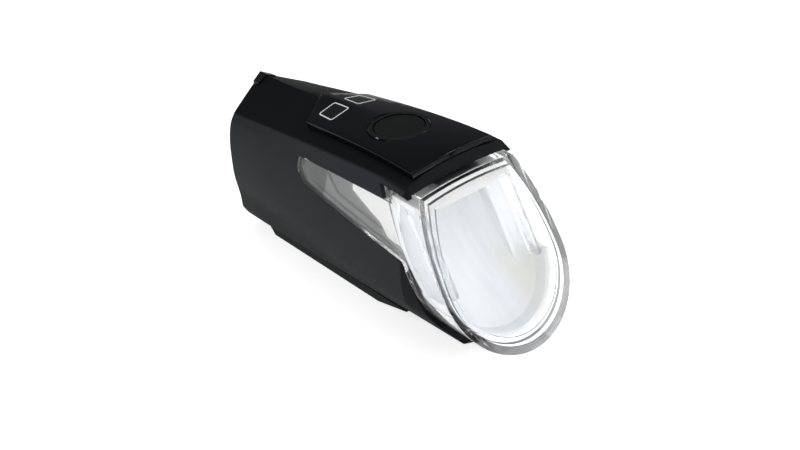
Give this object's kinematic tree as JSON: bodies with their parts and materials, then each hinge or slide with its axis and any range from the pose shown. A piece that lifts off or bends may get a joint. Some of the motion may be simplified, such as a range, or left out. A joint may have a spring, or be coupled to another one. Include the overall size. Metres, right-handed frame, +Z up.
{
  "type": "bike headlight",
  "caption": "Battery bike headlight with a ridged body, leaning clear lens that wraps into side windows, top push button, charge port under a rubber flap, and a slotted foot rail.",
  "frame": {"origin": "middle of the box that holds the lamp, on the flat underside of the foot", "axes": "+Y along the lamp towards its tail, so the lens faces -Y; +X to the right seen from the front; +Z up"},
  "size_m": [0.0396, 0.1107, 0.052],
  "materials": {
    "housing_plastic": "fine moulded grain",
    "lens_clear": "polished clear",
    "seal_rubber": "satin",
    "reflector_pale": "satin metallised",
    "white_plate": "satin white",
    "emitter_yellow": "clear dome over yellow",
    "metal_board": "satin",
    "heat_sink_alloy": "brushed",
    "screw_steel": "turned",
    "clear_guide": "polished clear",
    "tray_grey": "satin moulded",
    "pale_strip": "satin pale grey",
    "tape_black": "matte",
    "panel_gloss": "polished black",
    "window_smoke": "smoked, white outline",
    "ring_gloss": "polished black",
    "button_matte": "soft matte",
    "switch_plastic": "moulded",
    "board_green": "solder mask",
    "chip_black": "moulded",
    "led_white": "clear over pale yellow",
    "cell_wrap": "shrink wrap",
    "tab_nickel": "plated strip",
    "cradle_plastic": "moulded",
    "foam_grey": "closed-cell foam",
    "port_steel": "drawn shell",
    "flap_rubber": "polished"
  },
  "bodies": {
    "lamp_body": {"housing_shell": "housing_plastic", "lens_cover": "lens_clear", "lens_gasket": "seal_rubber", "reflector": "reflector_pale", "ceiling_plate": "white_plate", "led_emitter": "emitter_yellow", "led_board": "metal_board", "heat_sink": "heat_sink_alloy", "sink_screws": "screw_steel", "left_light_guide": "clear_guide", "right_light_guide": "clear_guide", "left_side_tray": "tray_grey", "right_side_tray": "tray_grey", "left_side_reflector_strip": "pale_strip", "right_side_reflector_strip": "pale_strip", "panel_tape": "tape_black", "top_panel": "panel_gloss", "left_mode_window": "window_smoke", "right_mode_window": "window_smoke", "light_pipes": "clear_guide", "indicator_leds": "led_white", "button_ring": "ring_gloss", "button_seal": "seal_rubber", "tact_switch": "switch_plastic", "button_board": "board_green", "button_board_screws": "screw_steel", "battery_cell": "cell_wrap", "cell_tab_front": "tab_nickel", "cell_tab_rear": "tab_nickel", "cell_cradle": "cradle_plastic", "foam_pad": "foam_grey", "end_foam": "foam_grey", "main_board": "board_green", "board_chips": "chip_black", "board_headers": "chip_black", "main_board_screws": "screw_steel", "rear_cap": "housing_plastic", "cap_seal": "seal_rubber", "cap_screws": "screw_steel", "charge_port": "port_steel", "port_tongue": "chip_black", "port_board": "board_green", "flap_pin": "screw_steel", "foot_rail": "housing_plastic", "foot_screws": "screw_steel"},
    "button": {"button_cap": "button_matte", "switch_plunger": "switch_plastic"},
    "flap": {"port_flap": "flap_rubber"}
  },
  "joints": [
    {"name": "button_press", "type": "slide", "parent": "lamp_body", "child": "button", "axis": [0, -0.0591, -0.9982], "range_m": [0, 0.0007], "stiffness_N_per_m": 600, "springref_m": -0.002},
    {"name": "flap_hinge", "type": "hinge", "parent": "lamp_body", "child": "flap", "pos_m": [0, 0.0522, 0.029], "axis": [-1, 0, 0], "range_deg": [0, 95]}
  ]
}
